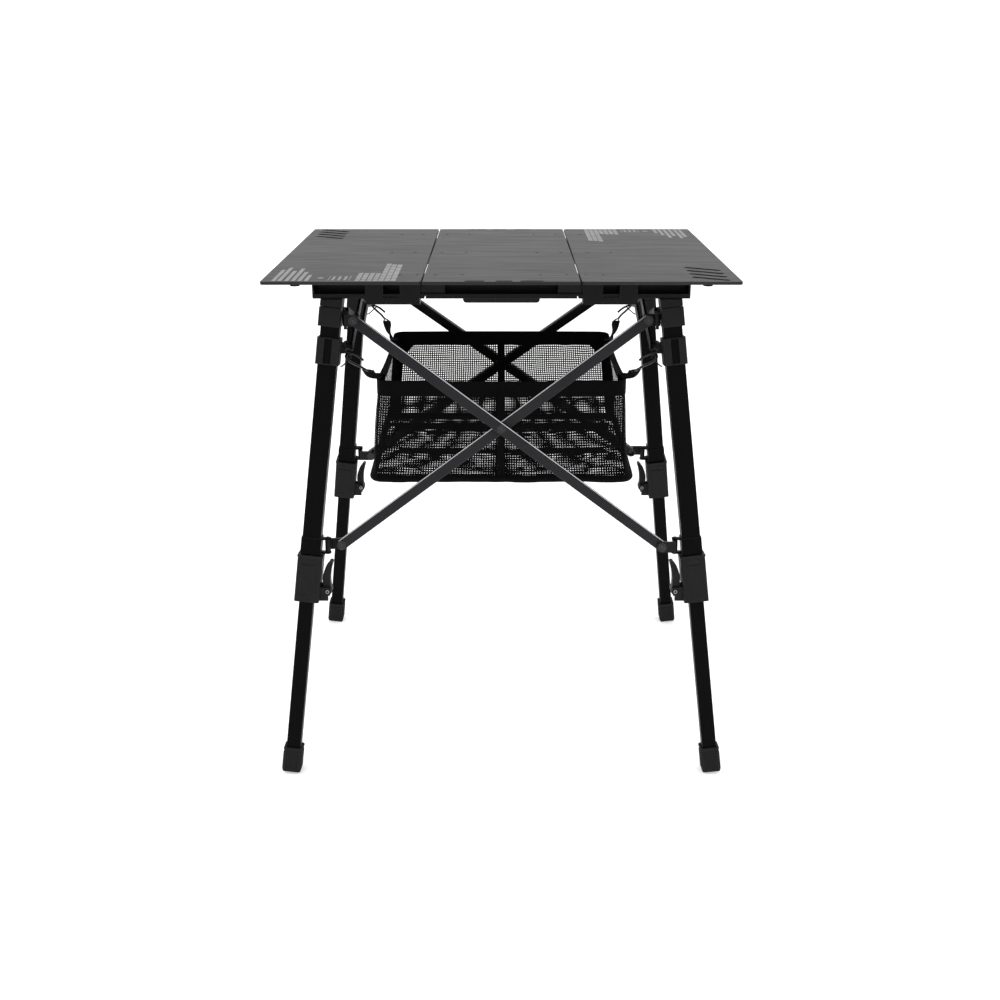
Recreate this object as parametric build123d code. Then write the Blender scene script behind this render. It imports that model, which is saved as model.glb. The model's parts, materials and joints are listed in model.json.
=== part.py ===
from build123d import *
import math
import os

os.makedirs("parts", exist_ok=True)

# Folding camp kitchen table. Millimetres, +Z up, origin on the floor under the middle of the top.
# X runs along the table's width, Y along its depth; the front is -Y.

# ---- driving dimensions -------------------------------------------------------------------
TOP_WIDTH = 600.0
TOP_DEPTH = 500.0
TOP_HEIGHT = 689.4
BOARD_THICK = 4.0
JOINT_X = 99.3            # where two boards meet
JOINT_GAP = 1.8           # open gap between two boards
CORNER_ROUND = 5.0
JOINT_ROUND = 1.5
BUMPER_X = 258.0
BUMPER_Y = 238.0

SLOT_LENGTH = 52.0
SLOT_WIDTH = 9.5
SLOT_PITCH = 25.4
SLOT_FIRST_Y = 151.0
SLOT_MIDDLE_X = -263.4
SLOT_SLANT = -30.7        # degrees from the X axis

# finger dimples along the centre board's ends: X of the middle, and length
DIMPLES = ((-33.5, 26.0), (3.2, 22.0), (38.0, 30.0))
DIMPLE_WIDTH = 6.0
DIMPLE_DEEP = 1.4
DIMPLE_INSET = 5.0

RAIL_Y = 168.0            # centre line of the two rails under the boards
RAIL_END_X = 245.0
RAIL_BOTTOM = 655.6
RAIL_DEPTH = 24.0
RAIL_WALL = 1.8
RAIL_LIP = 6.0
SLEEVE_INNER_X = 105.9
SLEEVE_LENGTH = 70.7
SLEEVE_BOTTOM = 648.1
SLEEVE_WALL = 1.6
TONGUE_REACH = 26.0       # how far a tongue reaches into its sleeve
TONGUE_PLUG = 25.0        # how far it is plugged into its centre rail
TONGUE_HEIGHT = 22.0
TONGUE_DEEP = 17.0
WINDOW_X = 142.5
WINDOW_LENGTH = 22.0
CATCH_LENGTH = 100.0
CATCH_LOW_Z = 650.0

LEG_FOOT_X = 295.7        # leg axis at the floor
LEG_FOOT_Y = 255.2
SPLAY_X = 0.1163          # sideways run of the axis per unit of height
SPLAY_Y = 0.1331
UPPER_TUBE = 25.0
UPPER_WALL = 1.5
LOWER_TUBE = 19.6
LOWER_WALL = 1.3
UPPER_TOP_Z = 641.0
UPPER_END_Z = 276.0
CAP_TOP_Z = RAIL_BOTTOM - 0.4
CAP_FLANGE_Z = 643.6
CAP_WIDTH = 29.0
CAP_DEPTH = 31.0
CAP_NECK = 24.4
LOWER_TOP_Z = 420.0
CLAMP_TOP_Z = 312.5
CLAMP_BOTTOM_Z = 249.5
CLAMP_SIZE = 34.0
FOOT_SIZE = 25.0
FOOT_HEIGHT = 37.7
FOOT_LIFT = 2.72           # raises the tilted foot so that its lowest corner meets the floor

LEVER_PIVOT_IN = 27.8     # lever pivot, inboard of the leg's axis
LEVER_PIVOT_Z = 263.5
LEVER_WIDTH = 12.0
LEVER_HUB_R = 6.0
LEVER_PIN_R = 2.5
LEVER_TIP = (9.0, 40.0)    # outward and up from the pivot
CHEEK_GAP = 0.3           # between the lever and each clamp cheek
CHEEK_THICK = 4.0

BLOCK_LOW_Z = 618.2
BLOCK_HIGH_Z = 642.5
SLIDER_LOW_Z = 569.0
SLIDER_HIGH_Z = 604.0
SLIDER_BORE_GAP = 0.4
BLOCK_WIDTH = 29.0
BLOCK_DEPTH = 33.0
SLIDER_SIZE = 31.0
GRIP_WIDTH = 8.5
RING_WIRE_R = 0.9
RING_Z = 586.0            # where the ring meets the slider's face

BRACE_TOP_X = 193.6       # end rivets of the crossed braces
BRACE_TOP_Z = 625.7
BRACE_LOW_X = 217.3
BRACE_LOW_Z = 324.4
BRACE_WIDTH = 14.0
BRACE_DEPTH = 8.0
BRACE_WALL = 1.4
BRACE_GAP = 0.4
ARM_THICK = 4.0
ARM_WIDTH = 15.0
RIVET_R = 3.0
RIVET_HEAD_R = 5.8
RIVET_HEAD = 1.4
INNER_HEAD_R = 4.4       # a rivet head inside a channel brace
RUNNING_GAP = 0.08
SWIVEL_PIN_R = 2.2
SWIVEL_TOP_X = 205.0
SWIVEL_LOW_X = 236.0
SWIVEL_PIN_LENGTH = 24.0
BRACE_BASE_Z = 483.0

SIDE_TOP_Y = 150.0        # end pins of the side scissors, at the blocks
SIDE_TOP_Z = 632.0
SIDE_DROP = 44.0          # from a block's pin down to a slider's pin
SIDE_OUTER_X = 204.2      # middle of the outer and the inner layer of side bars
SIDE_INNER_X = 200.0
SIDE_BAR_THICK = 3.4
SIDE_BAR_WIDTH = 13.0
EAR_THICK = 3.0
EAR_HEIGHT = 14.0
EAR_FOOT = 8.0
BLOCK_EAR_REACH = 13.0    # from a side bar's end pin to the back of its cheek
SLIDER_EAR_REACH = 16.0
BLOCK_EAR_X = 212.0       # where a cheek's foot is rooted
SLIDER_EAR_X = 214.5
BAR_HEAD_R = 4.4
OPEN_PIVOT_GAP = 0.4

BASKET_TOP_X = 170.0
BASKET_LOW_X = 180.0
BASKET_TOP_Y = 132.0
BASKET_LOW_Y = 138.0
BASKET_TOP_Z = 536.0
BASKET_LOW_Z = 392.0
BASKET_WALL = 3.0
HOOK_WIRE_R = 1.2
HOOK_ROUTE = (
    (181.0, 170.0, 573.5),
    (202.4, 172.0, 579.0),
    (203.2, 182.0, 576.6),
    (187.0, 177.0, 564.5),
)
STRAP_TOP = (177.5, 158.0, 561.0)
STRAP_END = (166.0, 134.5, 538.0)
STRAP_WIDTH = 15.0
STRAP_THICK = 2.0

SIDES = (-1, 1)
CORNERS = {"fl": (-1, -1), "fr": (1, -1), "bl": (-1, 1), "br": (1, 1)}
LEG_STRETCH = math.sqrt(1 + SPLAY_X**2 + SPLAY_Y**2)
UP_STRETCH = math.sqrt(1 + SPLAY_Y**2)
LAYER = (BRACE_DEPTH + BRACE_GAP) / 2
ARM_LAYER = BRACE_DEPTH + BRACE_GAP * 1.5 + ARM_THICK / 2
EAR_FACE_X = SIDE_OUTER_X + SIDE_BAR_THICK / 2 + 0.4
SLIDER_PIN_Z = SIDE_TOP_Z - SIDE_DROP
SLIDER_PIN_Y = SIDE_TOP_Y + SPLAY_Y * SIDE_DROP


def save(node, *solids):
    """One node is one STEP file; identical small pieces share a node as separate solids."""
    shapes = list(solids)
    export_step(shapes[0] if len(shapes) == 1 else Compound(children=shapes), f"parts/{node}.step")


def axis_point(sx, sy, z):
    """The point of a leg's axis at height z."""
    return Vector(sx * (LEG_FOOT_X - SPLAY_X * z), sy * (LEG_FOOT_Y - SPLAY_Y * z), z)


def leg_plane(sx, sy, z):
    """A plane across a leg at height z: local x along the width, local z up the leg."""
    up = Vector(-sx * SPLAY_X, -sy * SPLAY_Y, 1)
    return Plane(origin=axis_point(sx, sy, z), x_dir=(1, 0, sx * SPLAY_X), z_dir=up)


def leg_box(sx, sy, z0, z1, width, depth, inboard=0.0, behind=0.0, round_by=0.0):
    """A box along a leg; inboard moves it to the table's middle in X, behind in Y."""
    length = (z1 - z0) * LEG_STRETCH
    box = Box(width, depth, length)
    if round_by:
        box = fillet(box.edges().filter_by(Axis.Z), round_by)
    place = leg_plane(sx, sy, (z0 + z1) / 2).location * Location((-sx * inboard, -sy * behind, 0))
    return place * box


def pin(centre, direction, radius, length):
    """A cylinder about centre, along direction."""
    return Plane(origin=centre, z_dir=direction).location * Cylinder(radius, length)


def mirror_back(shape):
    """The same piece on the back frame."""
    return mirror(shape, about=Plane.XZ)


# ---- table top ----------------------------------------------------------------------------
def board(x0, x1, corner_round):
    plate = Box(x1 - x0, TOP_DEPTH, BOARD_THICK)
    plate = fillet(plate.edges().filter_by(Axis.Z), corner_round)
    plate = chamfer(plate.faces().sort_by(Axis.Z)[-1].edges(), 0.5)
    return Pos((x0 + x1) / 2, 0, TOP_HEIGHT - BOARD_THICK / 2) * plate


def corner_slots():
    """Four slanted slots through the back left corner of the top."""
    cutters = []
    for n in range(4):
        slot = extrude(SlotOverall(SLOT_LENGTH, SLOT_WIDTH), BOARD_THICK * 2, both=True)
        middle_y = SLOT_FIRST_Y + n * SLOT_PITCH
        cutters.append(Pos(SLOT_MIDDLE_X, middle_y, TOP_HEIGHT) * Rot(0, 0, SLOT_SLANT) * slot)
    return cutters


def centre_board():
    half = JOINT_X - JOINT_GAP / 2
    plate = board(-half, half, JOINT_ROUND)
    for turn in (0, 180):
        for x, length in DIMPLES:
            cut = extrude(SlotOverall(length, DIMPLE_WIDTH), DIMPLE_DEEP, both=True)
            plate -= Rot(0, 0, turn) * Pos(x, -TOP_DEPTH / 2 + DIMPLE_INSET, TOP_HEIGHT) * cut
    return plate


def outer_board(side):
    inner, outer = JOINT_X + JOINT_GAP / 2, TOP_WIDTH / 2
    plate = board(-outer, -inner, CORNER_ROUND)
    for cutter in corner_slots():
        plate -= cutter
    return plate if side < 0 else Rot(0, 0, 180) * plate


def rail(x0, x1, sy):
    """A channel under the boards, open to the outside, with a lip up its lower flange."""
    top = TOP_HEIGHT - BOARD_THICK
    height = top - RAIL_BOTTOM
    length = x1 - x0
    body = Box(length, RAIL_DEPTH, height)
    body -= Pos(0, sy * RAIL_WALL, 0) * Box(length + 2, RAIL_DEPTH, height - 2 * RAIL_WALL)
    lip = Box(length, RAIL_WALL, RAIL_LIP)
    body += Pos(0, sy * (RAIL_DEPTH - RAIL_WALL) / 2, -(height - RAIL_LIP) / 2) * lip
    return Pos((x0 + x1) / 2, sy * RAIL_Y, (top + RAIL_BOTTOM) / 2) * body


def tongue(sx, sy):
    """A plastic tongue plugged in a centre rail, reaching into the outer rail's sleeve."""
    x0, x1 = JOINT_X - JOINT_GAP / 2 - TONGUE_PLUG, SLEEVE_INNER_X + TONGUE_REACH
    body = fillet(Box(x1 - x0, TONGUE_DEEP, TONGUE_HEIGHT).edges().filter_by(Axis.X), 1.5)
    z = RAIL_BOTTOM + RAIL_WALL + TONGUE_HEIGHT / 2 + 0.5
    return Pos(sx * (x0 + x1) / 2, sy * RAIL_Y, z) * body


def sleeve(sx, sy):
    """A sleeve folded round the end of an outer rail, with a window for the tongue's catch."""
    height = TOP_HEIGHT - BOARD_THICK - 0.6 - SLEEVE_BOTTOM
    deep = RAIL_DEPTH + 2 * SLEEVE_WALL
    shell = Box(SLEEVE_LENGTH, deep, height)
    inside = TOP_HEIGHT - BOARD_THICK - RAIL_BOTTOM
    shell -= Pos(0, 0, (height - inside) / 2 + 0.6) * Box(SLEEVE_LENGTH + 2, RAIL_DEPTH, inside + 0.01)
    middle = SLEEVE_INNER_X + SLEEVE_LENGTH / 2
    window = Box(WINDOW_LENGTH, 8, height - 16)
    shell -= Pos(sx * (WINDOW_X - middle), sy * deep / 2, 1.0) * window
    return Pos(sx * middle, sy * RAIL_Y, SLEEVE_BOTTOM + height / 2) * shell


def grip(sy):
    """A rounded finger grip under the middle of a centre rail."""
    height = RAIL_BOTTOM - CATCH_LOW_Z
    body = Box(CATCH_LENGTH, RAIL_DEPTH - 2, height)
    low = body.faces().sort_by(Axis.Z)[0]
    body = fillet(low.edges().filter_by(Axis.Y), height * 0.8)
    return Pos(0, sy * RAIL_Y, CATCH_LOW_Z + height / 2) * body


def bumper(sx, sy):
    """A small round stud under an outer board's overhang."""
    return Pos(sx * BUMPER_X, sy * BUMPER_Y, TOP_HEIGHT - BOARD_THICK - 1.5) * Cylinder(6.0, 3.0)


half_board = JOINT_X - JOINT_GAP / 2
save("centre_board", centre_board())
save("centre_rails", *[rail(-half_board, half_board, sy) for sy in SIDES])
save("rail_tongues", *[tongue(sx, sy) for sx in SIDES for sy in SIDES])
save("centre_grips", *[grip(sy) for sy in SIDES])
for name, sx in (("left", -1), ("right", 1)):
    ends = sorted((sx * (JOINT_X + JOINT_GAP / 2), sx * RAIL_END_X))
    save(f"{name}_board", outer_board(sx))
    save(f"{name}_rails", *[rail(*ends, sy) for sy in SIDES])
    save(f"{name}_sleeves", *[sleeve(sx, sy) for sy in SIDES])
    save(f"{name}_bumpers", *[bumper(sx, sy) for sy in SIDES])


# ---- legs ---------------------------------------------------------------------------------
def upper_tube(sx, sy):
    bore = UPPER_TUBE - 2 * UPPER_WALL
    tube = leg_box(sx, sy, UPPER_END_Z, UPPER_TOP_Z, UPPER_TUBE, UPPER_TUBE, round_by=2.0)
    return tube - leg_box(sx, sy, UPPER_END_Z - 5, UPPER_TOP_Z + 5, bore, bore)


def top_cap(sx, sy):
    """A plastic cap on a leg's top, plugged into the tube, with a level seat under the rail."""
    high = CAP_TOP_Z + 10
    cap = leg_box(sx, sy, UPPER_TOP_Z, high, CAP_NECK, CAP_NECK, round_by=2.0)
    cap += leg_box(sx, sy, CAP_FLANGE_Z, high, CAP_WIDTH, CAP_DEPTH, -1.0, round_by=2.5)
    at = axis_point(sx, sy, CAP_TOP_Z)
    cap -= Pos(at.X, at.Y, CAP_TOP_Z + CAP_DEPTH) * Box(2 * CAP_DEPTH, 2 * CAP_DEPTH, 2 * CAP_DEPTH)
    plug = UPPER_TUBE - 2 * UPPER_WALL
    return cap + leg_box(sx, sy, UPPER_TOP_Z - 18, UPPER_TOP_Z + 1, plug, plug)


def side_ear(sx, sy, y, z, root_y, root_x):
    """A cheek beside the side bars, joined to its block or slider by a foot from root_y to root_x."""
    x = sx * (EAR_FACE_X + EAR_THICK / 2)
    cheek = Pos(x, sy * (y + root_y) / 2, z) * Box(EAR_THICK, root_y - y, EAR_HEIGHT)
    cheek += pin((x, sy * y, z), (1, 0, 0), EAR_HEIGHT / 2, EAR_THICK)
    foot_x = (EAR_FACE_X + root_x) / 2
    foot_box = Box(root_x - EAR_FACE_X, EAR_FOOT, EAR_HEIGHT)
    return cheek + Pos(sx * foot_x, sy * (root_y - EAR_FOOT / 2), z) * foot_box


def side_pin(sx, sy, y, z, layer_x):
    """The pin from a block's cheek through its side bar, with a thin head past the bar."""
    start = EAR_FACE_X + EAR_THICK
    end = layer_x - SIDE_BAR_THICK / 2 - 0.3
    shank = pin((sx * (start + end) / 2, sy * y, z), (1, 0, 0), RIVET_R, start - end)
    return shank + pin((sx * (end - 0.1), sy * y, z), (1, 0, 0), BAR_HEAD_R, 0.2)


def side_boss(sx, sy, y, z, layer_x):
    """A boss from a cheek to just short of the bar that ends there."""
    start = EAR_FACE_X + EAR_THICK
    end = layer_x + SIDE_BAR_THICK / 2 + OPEN_PIVOT_GAP
    return pin((sx * (start + end) / 2, sy * y, z), (1, 0, 0), BAR_HEAD_R, start - end)


def top_block(sx, layer_x):
    """A block round a front leg's top that carries the brace arm and the side bar's pin."""
    block = leg_box(sx, -1, BLOCK_LOW_Z, BLOCK_HIGH_Z, BLOCK_WIDTH, BLOCK_DEPTH, -1.5, 0, 2.0)
    block += side_ear(sx, -1, SIDE_TOP_Y, SIDE_TOP_Z, SIDE_TOP_Y + BLOCK_EAR_REACH, BLOCK_EAR_X)
    block += pin_bracket(sx, True)
    block -= leg_box(sx, -1, BLOCK_LOW_Z - 19, BLOCK_HIGH_Z + 19, UPPER_TUBE, UPPER_TUBE)
    return block + side_pin(sx, -1, SIDE_TOP_Y, SIDE_TOP_Z, layer_x)


def lever_pivot(sx, sy):
    at = axis_point(sx, sy, LEVER_PIVOT_Z)
    return Vector(at.X - sx * LEVER_PIVOT_IN, at.Y, at.Z)


def clamp_housing(sx, sy):
    """The clamp at the end of an upper tube, with two cheeks that hold the lever's pin."""
    body = leg_box(sx, sy, CLAMP_BOTTOM_Z, CLAMP_TOP_Z, 33.5, CLAMP_SIZE, 0.6, 0, 3.0)
    pivot = lever_pivot(sx, sy)
    for side in SIDES:
        y = pivot.Y + side * (LEVER_WIDTH / 2 + CHEEK_GAP + CHEEK_THICK / 2)
        cheek = Pos(pivot.X + sx * 8.0, y, pivot.Z - 4.0) * Box(17.0, CHEEK_THICK, 19.0)
        body += cheek + pin((pivot.X, y, pivot.Z), (0, 1, 0), 5.5, CHEEK_THICK)
    body -= leg_box(sx, sy, UPPER_END_Z, CLAMP_TOP_Z + 9, UPPER_TUBE, UPPER_TUBE)
    clear = LOWER_TUBE + 0.8
    body -= leg_box(sx, sy, CLAMP_BOTTOM_Z - 9, UPPER_END_Z + 1, clear, clear)
    body -= pin(pivot, (0, 1, 0), LEVER_PIN_R + 0.02, CLAMP_SIZE)
    return body


def lever_pin(sx, sy):
    return pin(lever_pivot(sx, sy), (0, 1, 0), LEVER_PIN_R, LEVER_WIDTH + 2 * (CHEEK_GAP + CHEEK_THICK))


def lever(sx, sy):
    """A cam lever: a hub on the pin and a curved blade that rises beside the clamp."""
    pivot = lever_pivot(sx, sy)
    with BuildPart() as blade:
        with BuildSketch(Plane.XZ):
            with BuildLine():
                ThreePointArc((5.6, -1.5), (4.4, 19.0), LEVER_TIP)
                ThreePointArc(LEVER_TIP, (6.0, 42.4), (3.4, 40.0))
                ThreePointArc((3.4, 40.0), (-5.6, 22.0), (-4.6, 4.0))
                Line((-4.6, 4.0), (5.6, -1.5))
            make_face()
        extrude(amount=LEVER_WIDTH / 2, both=True)
    body = blade.part + Rot(90, 0, 0) * Cylinder(LEVER_HUB_R, LEVER_WIDTH)
    body -= Rot(90, 0, 0) * Cylinder(LEVER_PIN_R + RUNNING_GAP, LEVER_WIDTH + 4)
    if sx > 0:
        body = mirror(body, about=Plane.YZ)
    return Pos(pivot.X, pivot.Y, pivot.Z) * body


def lower_tube(sx, sy):
    bore = LOWER_TUBE - 2 * LOWER_WALL
    tube = leg_box(sx, sy, 10.0, LOWER_TOP_Z, LOWER_TUBE, LOWER_TUBE, round_by=1.5)
    return tube - leg_box(sx, sy, 0.0, LOWER_TOP_Z + 5, bore, bore)


def foot(sx, sy):
    """A moulded rubber foot, pushed over the lower tube."""
    cap = leg_box(sx, sy, FOOT_LIFT, FOOT_HEIGHT, FOOT_SIZE, FOOT_SIZE, round_by=3.0)
    base = cap.faces().sort_by(Axis.Z)[0]
    cap = chamfer(base.edges(), 0.8)
    return cap - leg_box(sx, sy, 10.0, FOOT_HEIGHT + 9, LOWER_TUBE, LOWER_TUBE, round_by=1.5)


# ---- crossed braces of the front and back frames --------------------------------------------
def brace_plane(z):
    """The plane of a front leg pair at height z: local x is X, local z faces out."""
    return Plane(
        origin=(0, -(LEG_FOOT_Y - SPLAY_Y * z), z), x_dir=(1, 0, 0), z_dir=(0, -1, SPLAY_Y)
    )


def in_brace(x, z, out):
    """A point on the front frame: X, height, and distance out of the frame's plane."""
    return brace_plane(BRACE_BASE_Z).from_local_coords((x, (z - BRACE_BASE_Z) * UP_STRETCH, out))


def brace_ends(falling):
    sign = 1 if falling else -1
    return (-sign * BRACE_TOP_X, BRACE_TOP_Z), (sign * BRACE_LOW_X, BRACE_LOW_Z)


def rivet_holes(points, radius):
    """Cutters for rivets through the front frame's layers."""
    normal = brace_plane(BRACE_BASE_Z).z_dir
    return [pin(in_brace(x, z, 0), normal, radius, 60) for x, z in points]


def crossing():
    """Where the two braces cross, as X and height."""
    share = BRACE_TOP_X / (BRACE_TOP_X + BRACE_LOW_X)
    return 0.0, BRACE_TOP_Z + share * (BRACE_LOW_Z - BRACE_TOP_Z)


def brace(falling):
    """A channel brace with rounded ends, its back open."""
    (x0, z0), (x1, z1) = brace_ends(falling)
    rise = (z1 - z0) * UP_STRETCH
    length = math.hypot(x1 - x0, rise)
    bar = extrude(SlotCenterToCenter(length, BRACE_WIDTH), BRACE_DEPTH / 2, both=True)
    outer_edges = bar.faces().sort_by(Axis.Z)[-1].edges()
    bar = fillet(outer_edges, 1.2)
    hollow = extrude(SlotCenterToCenter(length, BRACE_WIDTH - 2 * BRACE_WALL), BRACE_DEPTH)
    bar -= Pos(0, 0, -BRACE_DEPTH / 2 - BRACE_WALL) * hollow
    turn = math.degrees(math.atan2(rise, x1 - x0))
    middle = ((x0 + x1) / 2, ((z0 + z1) / 2 - BRACE_BASE_Z) * UP_STRETCH, LAYER if falling else -LAYER)
    bar = brace_plane(BRACE_BASE_Z).location * Pos(*middle) * Rot(0, 0, turn) * bar
    for cutter in rivet_holes([(x0, z0), (x1, z1), crossing()], RIVET_R + RUNNING_GAP):
        bar -= cutter
    return bar


def rivet(x, z, low, high, low_head=RIVET_HEAD_R):
    """A headed rivet through the layers from low to high out of the frame's plane."""
    normal = brace_plane(BRACE_BASE_Z).z_dir
    half = RIVET_HEAD / 2
    shank = pin(in_brace(x, z, (low + high) / 2), normal, RIVET_R, high - low)
    shank += pin(in_brace(x, z, low - half), normal, low_head, RIVET_HEAD)
    return shank + pin(in_brace(x, z, high + half), normal, RIVET_HEAD_R, RIVET_HEAD)


def arm(sx, falling, top):
    """The arm that joins a brace end to its swivel pin beside the leg."""
    x, z = (BRACE_TOP_X, BRACE_TOP_Z) if top else (BRACE_LOW_X, BRACE_LOW_Z)
    out = ARM_LAYER if falling else -ARM_LAYER
    pin_x = SWIVEL_TOP_X if top else SWIVEL_LOW_X
    length = pin_x - x
    plate = Pos(length / 2, 0, 0) * Box(length, ARM_WIDTH, ARM_THICK)
    plate += Cylinder(ARM_WIDTH / 2, ARM_THICK)
    web_depth = abs(out) + ARM_THICK / 2
    web_out = -math.copysign(web_depth / 2 - ARM_THICK / 2, out)
    web = Pos(length - 1.5, 0, web_out) * Box(3, ARM_WIDTH, web_depth)
    barrel = Pos(length, 0, -out) * Rot(90, 0, 0) * Cylinder(SWIVEL_PIN_R + 1.6, ARM_WIDTH)
    shape = plate + web + barrel
    if sx < 0:
        shape = mirror(shape, about=Plane.YZ)
    local = (sx * x, (z - BRACE_BASE_Z) * UP_STRETCH, out)
    shape = brace_plane(BRACE_BASE_Z).location * Pos(*local) * shape
    for cutter in rivet_holes([(sx * x, z)], RIVET_R + RUNNING_GAP):
        shape -= cutter
    return shape - swivel_pin(sx, top, SWIVEL_PIN_R + RUNNING_GAP)


def swivel_pin(sx, top, radius=SWIVEL_PIN_R):
    """The upright pin that an arm swivels on, in the plane of the front legs."""
    x, z = (SWIVEL_TOP_X, BRACE_TOP_Z) if top else (SWIVEL_LOW_X, BRACE_LOW_Z)
    up = Vector(0, SPLAY_Y, 1)
    return pin(in_brace(sx * x, z, 0), up, radius, SWIVEL_PIN_LENGTH)


def pin_bracket(sx, top):
    """Cheeks from the leg that hold a swivel pin: one above its arm, and one below at the bottom."""
    x, z = (SWIVEL_TOP_X, BRACE_TOP_Z) if top else (SWIVEL_LOW_X, BRACE_LOW_Z)
    face = axis_point(sx, -1, z).X * sx - UPPER_TUBE / 2
    shape = None
    for side in (1,) if top else SIDES:
        v = (z - BRACE_BASE_Z) * UP_STRETCH + side * (ARM_WIDTH / 2 + 2.0)
        reach = face + 2.0 - x
        cheek = Pos(sx * (x + reach / 2), v, 0) * Box(reach, 3.0, 9.0)
        eye = Pos(sx * x, v, 0) * Rot(90, 0, 0) * Cylinder(4.5, 3.0)
        piece = cheek + eye
        shape = piece if shape is None else shape + piece
    shape = brace_plane(BRACE_BASE_Z).location * shape
    return shape - swivel_pin(sx, top, SWIVEL_PIN_R + 0.02)


def lower_bracket(sx):
    """A saddle on the leg that carries the lower swivel pin."""
    saddle = leg_box(sx, -1, BRACE_LOW_Z - 9, BRACE_LOW_Z + 13, 27.4, 27.4, round_by=2.0)
    shape = saddle + pin_bracket(sx, False)
    return shape - leg_box(sx, -1, BRACE_LOW_Z - 30, BRACE_LOW_Z + 30, UPPER_TUBE, UPPER_TUBE)


def rivets():
    """Four end rivets and the one where the braces cross."""
    arm_face = ARM_LAYER + ARM_THICK / 2
    falling_face = LAYER + BRACE_DEPTH / 2
    rising_face = -LAYER + BRACE_DEPTH / 2
    found = [rivet(*crossing(), rising_face - BRACE_WALL, falling_face, INNER_HEAD_R)]
    for x, z in brace_ends(True):
        found.append(rivet(x, z, falling_face - BRACE_WALL, arm_face, INNER_HEAD_R))
    for x, z in brace_ends(False):
        found.append(rivet(x, z, -arm_face, rising_face))
    return found


def arms():
    pieces = [arm(-1, True, True), arm(1, True, False), arm(1, False, True), arm(-1, False, False)]
    pins = [swivel_pin(sx, top) for sx in SIDES for top in (True, False)]
    return pieces + pins


def frame_pieces(layer_x):
    """Every node of the front frame; the back frame is its mirror image, with its bar at layer_x."""
    return {
        "upper_legs": [upper_tube(sx, -1) for sx in SIDES],
        "top_caps": [top_cap(sx, -1) for sx in SIDES],
        "top_blocks": [top_block(sx, layer_x) for sx in SIDES],
        "lower_brackets": [lower_bracket(sx) for sx in SIDES],
        "brace_arms": arms(),
        "brace_falling": [brace(True)],
        "brace_rising": [brace(False)],
        "brace_rivets": rivets(),
        "clamp_housings": [clamp_housing(sx, -1) for sx in SIDES],
        "lever_pins": [lever_pin(sx, -1) for sx in SIDES],
    }


for name, pieces in frame_pieces(SIDE_OUTER_X).items():
    save(f"front_{name}", *pieces)
for name, pieces in frame_pieces(SIDE_INNER_X).items():
    save(f"back_{name}", *[mirror_back(piece) for piece in pieces])

for corner, (sx, sy) in CORNERS.items():
    save(f"lower_leg_{corner}", lower_tube(sx, sy))
    save(f"foot_{corner}", foot(sx, sy))
    save(f"lever_{corner}", lever(sx, sy))


# ---- side scissors and sliders ---------------------------------------------------------------
def bar_crossing():
    """Where the two front bars of a side scissor cross: Y (negative, the front) and height."""
    slope_top = SIDE_DROP / SIDE_TOP_Y
    slope_low = SIDE_DROP / SLIDER_PIN_Y
    y = -SIDE_DROP / (slope_top + slope_low)
    return y, SIDE_TOP_Z - slope_top * (y + SIDE_TOP_Y)


def side_bar(sx, sy, start, end, layer_x, holes, pins, heads=()):
    """A flat bar between two (Y, height) points, with holes, its own pins and open-end heads.

    A pin of an outer bar sticks out inboard, through the inner bar.
    """
    (y0, z0), (y1, z1) = [(sy * y, z) for y, z in (start, end)]
    length = math.hypot(y1 - y0, z1 - z0)
    bar = extrude(SlotCenterToCenter(length, SIDE_BAR_WIDTH), SIDE_BAR_THICK / 2, both=True)
    plane = Plane(
        origin=(sx * layer_x, (y0 + y1) / 2, (z0 + z1) / 2),
        x_dir=(0, y1 - y0, z1 - z0),
        z_dir=(1, 0, 0),
    )
    bar = plane.location * bar
    for y, z in holes:
        bar -= pin((sx * layer_x, sy * y, z), (1, 0, 0), RIVET_R + RUNNING_GAP, 12)
    step = SIDE_OUTER_X - SIDE_INNER_X
    for y, z in pins:
        reach = step + SIDE_BAR_THICK / 2 + 0.3
        at = layer_x - reach / 2
        bar += pin((sx * at, sy * y, z), (1, 0, 0), RIVET_R, reach)
        head = layer_x - reach - 0.4
        bar += pin((sx * head, sy * y, z), (1, 0, 0), BAR_HEAD_R, 0.8)
    for y, z in heads:
        at = layer_x - SIDE_BAR_THICK / 2 - 0.15
        bar += pin((sx * at, sy * y, z), (1, 0, 0), BAR_HEAD_R, 0.3)
    return bar


cross = bar_crossing()
high = (0.0, SIDE_TOP_Z)
low = (0.0, SLIDER_PIN_Z)
block_end = (-SIDE_TOP_Y, SIDE_TOP_Z)
slider_end = (-SLIDER_PIN_Y, SLIDER_PIN_Z)
# Bars 1 and 2 are the front pair, 3 and 4 the back pair. 1 and 3 lie in the outer layer.
# The ends at the sliders and at mid depth are open pivots: their heads stop short of the next piece.
for name, sx in (("left", -1), ("right", 1)):
    bars = {
        1: side_bar(sx, 1, block_end, low, SIDE_OUTER_X, [block_end], [cross], [low]),
        2: side_bar(sx, 1, slider_end, high, SIDE_INNER_X, [cross], [], [slider_end, high]),
        3: side_bar(sx, -1, slider_end, high, SIDE_OUTER_X, [], [cross], [slider_end, high]),
        4: side_bar(sx, -1, block_end, low, SIDE_INNER_X, [block_end, cross], [], [low]),
    }
    for number, bar in bars.items():
        save(f"side_bar_{name}_{number}", bar)


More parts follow.
